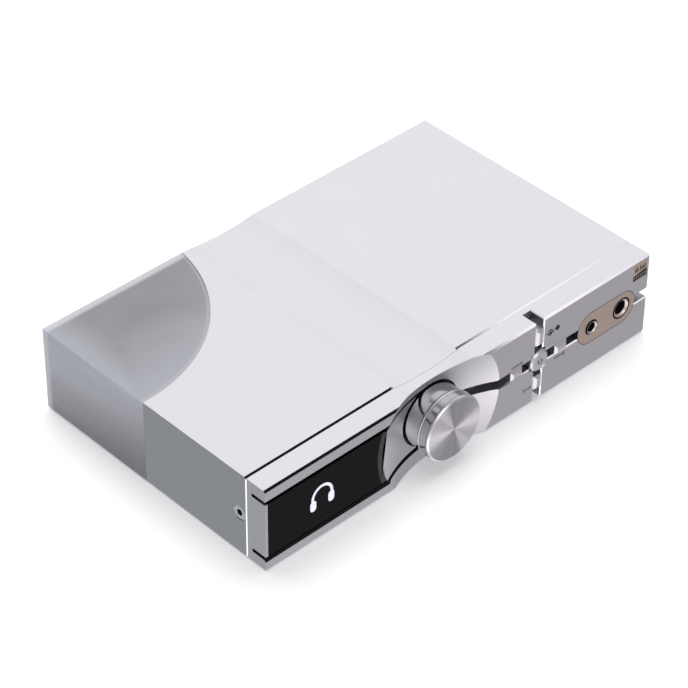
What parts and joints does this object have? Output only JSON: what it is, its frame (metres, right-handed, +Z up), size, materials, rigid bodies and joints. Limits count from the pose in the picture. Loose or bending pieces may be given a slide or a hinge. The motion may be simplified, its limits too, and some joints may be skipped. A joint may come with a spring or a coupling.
{
  "type": "headphone amplifier",
  "caption": "Low aluminium desktop headphone amplifier with a dished knob, crossed button grooves, front headphone sockets and an acrylic rear corner",
  "frame": {"origin": "middle of the overall width and depth, on the plane that the feet stand on", "axes": "+X to the right seen from the front, -Y out of the front face, +Z up"},
  "size_m": [0.214, 0.146, 0.0411],
  "materials": {
    "satin_aluminium": "bead blasted and anodised, silver",
    "polished_aluminium": "spun face and polished rim",
    "champagne_aluminium": "satin, champagne anodised",
    "smoked_acrylic": "frosted translucent acrylic",
    "black_window": "gloss black display window",
    "display_glass": "display module glass",
    "black_plastic": "moulded",
    "socket_grey_plastic": "moulded",
    "plated_ring": "nickel plated",
    "steel": "plain",
    "gold_plated": "gold plated",
    "gold_foil": "printed foil sticker",
    "black_rubber": "moulded",
    "circuit_board": "solder resist over glass fibre",
    "polyimide": "film ribbon",
    "chip_epoxy": "moulded epoxy",
    "capacitor_sleeve": "shrunk sleeve over an aluminium can",
    "relay_case": "moulded case",
    "ferrite": "ferrite drum",
    "lead_sheath": "thin coaxial sheath"
  },
  "bodies": {
    "amplifier": {"case_sleeve": "satin_aluminium", "base_plate": "satin_aluminium", "rear_panel": "satin_aluminium", "front_fascia": "satin_aluminium", "acrylic_corner": "smoked_acrylic", "rubber_feet": "black_rubber", "display_window": "black_window", "oled_module": "display_glass", "display_ribbon": "polyimide", "encoder_body": "steel", "encoder_nut": "steel", "tact_switches": "steel", "jack_plate": "champagne_aluminium", "jack_635_body": "black_plastic", "jack_635_ring": "plated_ring", "jack_44_body": "black_plastic", "jack_44_ring": "plated_ring", "jack_pins": "plated_ring", "badge": "gold_foil", "main_board": "circuit_board", "front_board": "circuit_board", "board_standoffs": "gold_plated", "board_screws": "steel", "front_board_screws": "steel", "board_header": "black_plastic", "electrolytic_capacitors": "capacitor_sleeve", "ic_packages": "chip_epoxy", "output_relays": "relay_case", "power_inductors": "ferrite", "wireless_module": "steel", "aerial_board": "circuit_board", "aerial_lead": "lead_sheath", "xlr_shells": "steel", "xlr_inserts": "black_plastic", "xlr_pins": "gold_plated", "phono_barrels": "gold_plated", "phono_collars": "black_plastic", "phono_contacts": "gold_plated", "optical_socket": "black_plastic", "usb_socket_shell": "plated_ring", "usb_socket_tongue": "black_plastic", "dc_socket_body": "black_plastic", "dc_socket_pin": "plated_ring", "side_screws": "steel", "base_screws": "steel", "rear_screws": "steel"},
    "knob_push": {"encoder_plunger": "black_plastic"},
    "knob": {"volume_knob": "polished_aluminium", "encoder_shaft": "steel"},
    "power_key": {"power_button": "polished_aluminium", "power_switch_plunger": "black_plastic"},
    "left_key": {"left_button": "satin_aluminium", "left_switch_plunger": "black_plastic"},
    "right_key": {"right_button": "satin_aluminium", "right_switch_plunger": "black_plastic"},
    "up_key": {"up_button": "satin_aluminium", "up_switch_plunger": "black_plastic"},
    "down_key": {"down_button": "satin_aluminium", "down_switch_plunger": "black_plastic"},
    "shutter": {"optical_shutter": "socket_grey_plastic"}
  },
  "joints": [
    {"name": "knob_press", "type": "slide", "parent": "amplifier", "child": "knob_push", "axis": [0, 1, 0], "range_m": [0, 0.0005], "stiffness_N_per_m": 8000},
    {"name": "knob_turn", "type": "hinge", "parent": "knob_push", "child": "knob", "pos_m": [-0.0132, -0.0661, 0.02095], "axis": [0, 1, 0], "continuous": true},
    {"name": "power_press", "type": "slide", "parent": "amplifier", "child": "power_key", "axis": [0, 1, 0], "range_m": [0, 0.0004], "stiffness_N_per_m": 5000},
    {"name": "left_press", "type": "slide", "parent": "amplifier", "child": "left_key", "axis": [0, 1, 0], "range_m": [0, 0.0004], "stiffness_N_per_m": 5000},
    {"name": "right_press", "type": "slide", "parent": "amplifier", "child": "right_key", "axis": [0, 1, 0], "range_m": [0, 0.0004], "stiffness_N_per_m": 5000},
    {"name": "up_press", "type": "slide", "parent": "amplifier", "child": "up_key", "axis": [0, 1, 0], "range_m": [0, 0.0004], "stiffness_N_per_m": 5000},
    {"name": "down_press", "type": "slide", "parent": "amplifier", "child": "down_key", "axis": [0, 1, 0], "range_m": [0, 0.0004], "stiffness_N_per_m": 5000},
    {"name": "shutter_swing", "type": "hinge", "parent": "amplifier", "child": "shutter", "pos_m": [0.025, 0.0652, 0.01785], "axis": [1, 0, 0], "range_deg": [-85, 0], "stiffness_Nm_per_rad": 0.0005, "springref_deg": 5.73}
  ]
}
